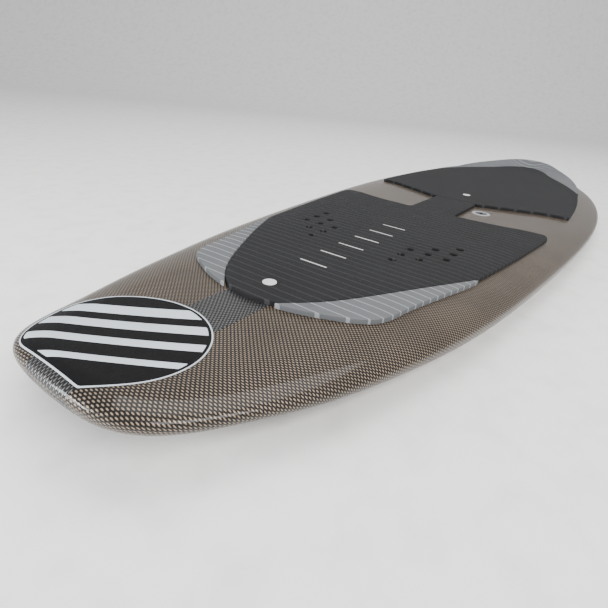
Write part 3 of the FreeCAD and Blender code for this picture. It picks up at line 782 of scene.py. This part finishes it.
FILM_MIDDLE = np.array([663.5, -19.0])
FILM_RADIUS, FILM_RIM, FILM_FRONT = 69.4, 1.2, 717.0
FILM_TUCK, FILM_MARGIN, FILM_SOFTEN = 0.3, 12.0, 90
BAR_COUNT, BAR_PITCH, BAR_TURN = 4, 27.0, math.radians(40)
BAR_WIDTH, BAR_TAPER, BAR_SHIFT = 15.0, 2.5, -7.5
FILM_HEIGHT, BAR_HEIGHT, FILM_RIM_HEIGHT = 0.3, 0.42, 0.45


def film_loop(inset):
    """The film's outline drawn in by an inset: a disc with a straight front, kept off the rail."""
    turns = np.radians(np.arange(0, 360, 1.5))
    radius = FILM_RADIUS - inset
    loop = FILM_MIDDLE + radius * np.column_stack([np.cos(turns), np.sin(turns)])
    front = FILM_FRONT - inset
    kept = loop[loop[:, 0] < front]
    reach = math.sqrt(radius**2 - (front - FILM_MIDDLE[0]) ** 2)
    low, high = FILM_MIDDLE[1] - reach, FILM_MIDDLE[1] + reach
    edge = [(front, y) for y in np.linspace(low, high, 40)]
    start = int(np.argmin(np.hypot(kept[:, 0] - front, kept[:, 1] - high)))
    loop = evened(np.concatenate([edge, np.roll(kept, -start, axis=0)]), 1.0)
    half = np.interp(loop[:, 0], *np.array(OUTLINE).T) - FILM_MARGIN - inset
    loop[:, 1] = np.clip(loop[:, 1], -half, half)
    loop = evened(loop, 1.0)
    soft = loop
    for _ in range(FILM_SOFTEN):
        soft = (np.roll(soft, 1, axis=0) + 2 * soft + np.roll(soft, -1, axis=0)) / 4
    return np.where(loop[:, 1:] < FILM_MIDDLE[1], soft, loop)


def clipped(loop, middle, half):
    """The part of a convex loop within a slanted band."""
    way = np.array([math.cos(BAR_TURN), math.sin(BAR_TURN)])
    for sign in (1, -1):
        out = []
        depth = half - sign * ((loop - FILM_MIDDLE) @ way - middle)
        for i, here in enumerate(loop):
            n = (i + 1) % len(loop)
            if depth[i] >= 0:
                out.append(here)
            if (depth[i] >= 0) != (depth[n] >= 0):
                out.append(here + (loop[n] - here) * depth[i] / (depth[i] - depth[n]))
        loop = np.array(out)
    return loop


def evened(loop, step=2.0):
    """A closed loop with its points spread evenly."""
    closed = np.concatenate([loop, loop[:1]])
    run = np.concatenate([[0], np.cumsum(np.hypot(*np.diff(closed, axis=0).T))])
    at = np.linspace(0, run[-1], max(int(run[-1] / step), 8) + 1)[:-1]
    return np.stack([np.interp(at, run, closed[:, k]) for k in range(2)], 1)


def film_sheet(name, loops, height, slot, base=0.1):
    """A thin printed layer on the nose."""
    return sheet(name, loops, level(height), slot, bevel=0.1, base=base, pitch=3.0)


def make_film():
    """The black film, and its silver rim and slanted bars as one piece."""
    body = [evened(film_loop(FILM_TUCK))]
    film = film_sheet("nose_film", body, FILM_HEIGHT, "film_black", base=-0.05)
    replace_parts(film, "nose_decal")
    rim = [evened(film_loop(0)), evened(film_loop(FILM_RIM))[::-1]]
    parts = [film_sheet("rim", rim, FILM_RIM_HEIGHT, "film_silver")]
    for i in range(BAR_COUNT):
        width = BAR_WIDTH - BAR_TAPER * i
        middle = BAR_PITCH * (i - (BAR_COUNT - 1) / 2) + BAR_SHIFT + width / 2
        loop = clipped(film_loop(3 * FILM_RIM), middle, width / 2)
        parts.append(film_sheet(f"band_{i}", [evened(loop)], BAR_HEIGHT, "film_silver"))
    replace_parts(joined("nose_film_trim", parts, "film_silver"), "nose_decal_trim")


TURNED_CREASE = 30


def turned(name, profile, x, y, slot, count=48):
    """A piece turned about an upright axis, from (radius, height) steps in millimetres."""
    verts, faces = [], []
    for radius, z in profile:
        for k in range(count):
            a = 2 * math.pi * k / count
            verts.append((x + radius * math.cos(a), y + radius * math.sin(a), z))
    for row in range(len(profile) - 1):
        for k in range(count):
            n = (k + 1) % count
            low = row * count
            faces.append((low + k, low + n, low + count + n, low + count + k))
    faces.append(tuple(range(count))[::-1])
    faces.append(tuple((len(profile) - 1) * count + k for k in range(count)))
    return smooth(outward(new_piece(name, verts, faces, slot)), TURNED_CREASE)


BADGES = (("front", 513), ("rear", -87))
# Radius, and height above the pad.
BADGE_STEPS = [
    (7.0, 0), (7.0, 0.35), (6.8, 0.6), (6.4, 0.68), (6.0, 0.62), (5.8, 0.45),
    (5.5, 0.45), (5.3, 0.62), (4.6, 0.72), (2.5, 0.78), (0.2, 0.8),
]


def make_badges():
    """Two small plain badges with a groove near the edge, on the pads' centreline."""
    profile = [(radius, DECK + PAD_TOP + rise) for radius, rise in BADGE_STEPS]
    for end, x in BADGES:
        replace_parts(turned(f"{end}_badge_dome", profile, x, 0, "badge"), f"{end}_badge")


# ------------------------------------------------------------------ materials


class Shader:
    """A material's node tree, with short calls for the sums that its patterns need."""

    def __init__(self, name):
        self.material = bpy.data.materials.new(name)
        self.material.use_nodes = True
        self.tree = self.material.node_tree
        self.bsdf = self.tree.nodes["Principled BSDF"]

    def node(self, kind, **props):
        made = self.tree.nodes.new(kind)
        for key, value in props.items():
            setattr(made, key, value)
        return made

    def wire(self, value, socket):
        """A link from another node's output, or else a fixed value."""
        if isinstance(value, bpy.types.NodeSocket):
            self.tree.links.new(value, socket)
        else:
            socket.default_value = value

    def sum(self, operation, *values):
        made = self.node("ShaderNodeMath", operation=operation)
        for value, socket in zip(values, made.inputs):
            self.wire(value, socket)
        return made.outputs[0]

    def mix(self, share, first, second):
        made = self.node("ShaderNodeMix", data_type="RGBA")
        self.wire(share, made.inputs[0])
        self.wire(first, made.inputs[6])
        self.wire(second, made.inputs[7])
        return made.outputs[2]

    def place(self, uv=None):
        """X, Y and Z of the object's own coordinates, or of a UV map, in millimetres."""
        if uv:
            source = self.node("ShaderNodeUVMap", uv_map=uv).outputs[0]
        else:
            source = self.node("ShaderNodeTexCoord").outputs["Object"]
        scaled = self.node("ShaderNodeVectorMath", operation="SCALE")
        self.wire(source, scaled.inputs[0])
        scaled.inputs["Scale"].default_value = 1 / UV_PER_MM if uv else 1000
        self.spot = scaled.outputs[0]
        split = self.node("ShaderNodeSeparateXYZ")
        self.wire(self.spot, split.inputs[0])
        return split.outputs

    def noise(self, scale, detail=2.0):
        made = self.node("ShaderNodeTexNoise")
        self.wire(self.spot, made.inputs["Vector"])
        made.inputs["Scale"].default_value = scale
        made.inputs["Detail"].default_value = detail
        return made.outputs[0]

    def stretch(self, value, low, high, new_low, new_high):
        made = self.node("ShaderNodeMapRange")
        for number, socket in zip((value, low, high, new_low, new_high), made.inputs):
            self.wire(number, socket)
        return made.outputs[0]

    def bump(self, height, strength, distance):
        made = self.node("ShaderNodeBump")
        made.inputs["Strength"].default_value = strength
        made.inputs["Distance"].default_value = distance
        self.wire(height, made.inputs["Height"])
        self.wire(made.outputs[0], self.bsdf.inputs["Normal"])

    def set(self, **values):
        for key, value in values.items():
            self.wire(value, self.bsdf.inputs[key.replace("_", " ")])


def rgb(*values):
    """A colour with full opacity."""
    return (*values, 1.0)


BLACK = rgb(0.0, 0.0, 0.0)
TOW_WIDTH = 0.5
CRIMP, CROWN = 0.6, 0.8


def cloth(name, warp, weft, pitch):
    """Plain-woven tows under clear resin: weft across the board, warp along it; their colour carries
    painted shade.
    """
    s = Shader(name)
    x, y, _ = s.place("weave")
    u, v = s.sum("DIVIDE", x, pitch[0]), s.sum("DIVIDE", y, pitch[1])
    heights = []
    for across_tow, along_tow, sign in ((u, v, 1.0), (v, u, -1.0)):
        side = s.sum("SUBTRACT", s.sum("MULTIPLY", s.sum("FRACT", across_tow), 2.0), 1.0)
        side = s.sum("DIVIDE", side, TOW_WIDTH)
        crown = s.sum("SUBTRACT", CROWN, s.sum("MULTIPLY", s.sum("MULTIPLY", side, side), CROWN))
        odd = s.sum("FLOORED_MODULO", s.sum("FLOOR", across_tow), 2.0)
        turn = s.sum("SUBTRACT", 1.0, s.sum("MULTIPLY", odd, 2.0))
        wave = s.sum("MULTIPLY", s.sum("SINE", s.sum("MULTIPLY", along_tow, math.pi)), turn)
        heights.append(s.sum("ADD", s.sum("MULTIPLY", wave, sign * CRIMP), crown))
    weft_up = s.sum("GREATER_THAN", heights[0], heights[1])
    height = s.sum("MAXIMUM", *heights)
    drift = s.stretch(s.noise(0.02), 0.3, 0.7, 0.82, 1.12)
    # Painted shade: each tow's colour darkens with its height, towards its edges and into the gaps
    # between tows. This is multiplied by a slow random change of tone.
    tone_and_painted_shade = s.sum("MULTIPLY", drift, s.stretch(height, 0.25, 1.0, 0.03, 1.0))
    tows = s.mix(weft_up, rgb(*warp), rgb(*weft))
    s.set(
        Base_Color=s.mix(tone_and_painted_shade, BLACK, tows),
        Metallic=0.45,
        Roughness=s.stretch(weft_up, 0.0, 1.0, 0.36, 0.46),
        Coat_Weight=0.3,
        Coat_Roughness=0.05,
        Coat_IOR=1.45,
        Specular_IOR_Level=0.3,
    )
    s.bump(height, 0.5, 0.00015)
    return s.material


def eva(name, base, line):
    """Closed-cell foam with shallow cross grooves whose floors are a little lighter."""
    s = Shader(name)
    x, _, _ = s.place()
    run = s.sum("SUBTRACT", x, GROOVE_START - GROOVE_PITCH / 2)
    cycle = s.sum("FLOORED_MODULO", run, GROOVE_PITCH)
    away = s.sum("ABSOLUTE", s.sum("SUBTRACT", cycle, GROOVE_PITCH / 2))
    edge = GROOVE_WIDTH / 2
    groove = s.stretch(away, edge - 0.1, edge + 0.1, 1.0, 0.0)
    patchy = s.stretch(s.noise(0.015, 3.0), 0.3, 0.7, 0.88, 1.1)
    fresh = s.mix(groove, rgb(*base), rgb(*line))
    cells = s.noise(1.6, 4.0)
    s.set(
        Base_Color=s.mix(patchy, BLACK, fresh),
        Roughness=s.stretch(cells, 0.3, 0.7, 0.72, 0.86),
        Specular_IOR_Level=0.25,
    )
    s.bump(cells, 0.3, 0.0004)
    return s.material


def plain(name, color, rough, metallic=0.0, grain=0.5, depth=0.1, coat=0.0, specular=0.5):
    """A plain finish with a faint change of tone and a fine grain."""
    s = Shader(name)
    s.place()
    tone = s.stretch(s.noise(0.03, 2.0), 0.3, 0.7, 0.92, 1.06)
    fine = s.noise(grain, 3.0)
    s.set(
        Base_Color=s.mix(tone, BLACK, rgb(*color)),
        Metallic=metallic,
        Roughness=s.stretch(fine, 0.3, 0.7, max(rough - 0.05, 0.02), rough + 0.05),
        Specular_IOR_Level=specular,
        Coat_Weight=coat,
        Coat_Roughness=0.08,
    )
    s.bump(fine, depth, 0.0002)
    return s.material


BRONZE = (0.30, 0.225, 0.16)
SOOT = (0.012, 0.011, 0.010)
# Painted sheen: grey for the tape's warp tows. They are black carbon like the weft, drawn lighter as
# if catching the light.
PAINTED_SHEEN_GREY = (0.17, 0.17, 0.175)

FINISHES = {
    "carbon_deck": cloth("deck_cloth", SOOT, BRONZE, (2.0, 2.0)),
    "carbon_hull": cloth("hull_cloth", SOOT, BRONZE, (2.0, 2.0)),
    # The tape's warp takes the painted sheen grey; its weft is plain black carbon.
    "carbon_tape": cloth("tape_cloth", PAINTED_SHEEN_GREY, SOOT, (2.6, 1.75)),
    "foam": plain("foam_white", (0.86, 0.86, 0.84), 0.85, depth=0.3),
    "pvc_foam": plain("foam_green", (0.45, 0.55, 0.36), 0.8, depth=0.3),
    "track_plastic": plain("box_plastic", (0.018, 0.018, 0.020), 0.42, depth=0.15),
    "track_metal": plain("rail_anodised", (0.10, 0.10, 0.11), 0.34, metallic=0.9, grain=2.0),
    "nut_metal": plain("nut_steel", (0.60, 0.60, 0.59), 0.3, metallic=1.0, grain=2.0),
    "insert_brass": plain("insert_metal", (0.62, 0.50, 0.26), 0.32, metallic=1.0, grain=2.0),
    "vent_plastic": plain("vent_nylon", (0.30, 0.30, 0.31), 0.4, depth=0.15),
    "vent_metal": plain("vent_anodised", (0.035, 0.035, 0.038), 0.3, metallic=0.8, grain=2.0),
    "vent_rubber": plain("seal_rubber", (0.02, 0.02, 0.02), 0.7),
    "vent_film": plain("membrane_white", (0.78, 0.78, 0.77), 0.7),
    "pad_dark": eva("foam_charcoal", (0.009, 0.009, 0.010), (0.036, 0.037, 0.040)),
    "pad_light": eva("foam_grey", (0.105, 0.110, 0.116), (0.25, 0.26, 0.27)),
    "pad_mark": plain("inlay_grey", (0.50, 0.50, 0.49), 0.7),
    "film_black": plain("film_dark", (0.003, 0.003, 0.0035), 0.5, specular=0.12),
    "film_silver": plain("film_bright", (0.55, 0.60, 0.64), 0.4, metallic=0.1),
    "badge": plain("badge_print", (0.60, 0.60, 0.60), 0.4, coat=0.3),
}


def dress():
    """Give every shown piece the finish of its slot."""
    slots = {part["node"]: part["material_slot"] for part in frame["record"]["subparts"]}
    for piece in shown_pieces():
        name = piece.get("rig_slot") or slots[piece.name]
        piece.data.materials.clear()
        piece.data.materials.append(FINISHES[name])


# ------------------------------------------------------------------ floor, light and camera


# Name, place, the point it looks at, size, power and colour.
LIGHTS = (
    ("key", (0.9, 1.5, 1.5), (0.3, 0.1, 0.0), (1.4, 0.9), 60, (1.0, 0.98, 0.96)),
    ("top", (-0.4, -0.2, 2.4), (-0.1, 0.0, 0.0), (2.2, 1.4), 45, (1.0, 1.0, 1.0)),
    ("nose", (1.6, -0.62, 0.42), (0.72, 0.03, 0.05), (0.55, 0.35), 22, (0.98, 0.99, 1.0)),
)
FLOOR_NEAR, FLOOR_FLAT, FLOOR_BEND, FLOOR_TOP, FLOOR_HALF = -4.0, 2.6, 1.4, 4.5, 6
CAMERA_PLACE = (0.8147, 0.2420, 0.2284)
CAMERA_RIGHT = (-0.5866, 0.8054, 0.0851)
CAMERA_AHEAD = (-0.7431, -0.4935, -0.4519)
CAMERA_LENS = 26.2


def area(name, spot, target, size, power, color):
    """A soft square light that looks at a point."""
    lamp = bpy.data.lights.new(name, "AREA")
    lamp.shape = "RECTANGLE"
    lamp.size, lamp.size_y = size
    lamp.energy = power
    lamp.color = color
    item = bpy.data.objects.new(name, lamp)
    bpy.context.scene.collection.objects.link(item)
    item.location = spot
    way = Vector(target) - Vector(spot)
    item.rotation_mode = "QUATERNION"
    item.rotation_quaternion = way.to_track_quat("-Z", "Y")


def make_stage():
    """A pale floor that bends up into a pale backdrop behind the board."""
    away = Vector((-0.83, -0.56, 0)).normalized()
    side = Vector((-away.y, away.x, 0))
    profile = [(FLOOR_NEAR, 0.0)]
    for a in np.linspace(0, 1.45, 24):
        profile.append((FLOOR_FLAT + FLOOR_BEND * math.sin(a), FLOOR_BEND - FLOOR_BEND * math.cos(a)))
    profile.append((profile[-1][0] + 0.3, FLOOR_TOP))
    mesh = bpy.data.meshes.new("floor")
    verts = []
    for reach, z in profile:
        for half in (-FLOOR_HALF, FLOOR_HALF):
            verts.append(tuple(away * reach + side * half + Vector((0, 0, z))))
    faces = [(2 * i, 2 * i + 1, 2 * i + 3, 2 * i + 2) for i in range(len(profile) - 1)]
    mesh.from_pydata(verts, [], faces)
    mesh.polygons.foreach_set("use_smooth", [True] * len(faces))
    floor = bpy.data.objects.new("floor", mesh)
    bpy.context.scene.collection.objects.link(floor)
    mesh.materials.append(plain("floor_paint", (0.84, 0.84, 0.83), 0.7, specular=0.1))
    world = bpy.data.worlds.new("studio")
    bpy.context.scene.world = world
    world.use_nodes = True
    sky = world.node_tree.nodes["Background"]
    sky.inputs["Color"].default_value = rgb(0.92, 0.93, 0.95)
    sky.inputs["Strength"].default_value = 0.8


def make_camera():
    """The camera, low before the nose."""
    lens = bpy.data.cameras.new("camera")
    lens.sensor_width = 36.0
    lens.lens = CAMERA_LENS
    lens.clip_start, lens.clip_end = 0.01, 50.0
    camera = bpy.data.objects.new("camera", lens)
    bpy.context.scene.collection.objects.link(camera)
    right = Vector(CAMERA_RIGHT).normalized()
    ahead = Vector(CAMERA_AHEAD).normalized()
    upward = right.cross(ahead).normalized()
    right = ahead.cross(upward)
    turn = Matrix((right, upward, -ahead)).transposed()
    camera.matrix_world = Matrix.Translation(CAMERA_PLACE) @ turn.to_4x4()
    bpy.context.scene.camera = camera


make_laminate()
make_tape("deck")
make_tape("hull")
make_pads()
make_marks()
make_film()
make_badges()
dress()
make_stage()
for light in LIGHTS:
    area(*light)
make_camera()
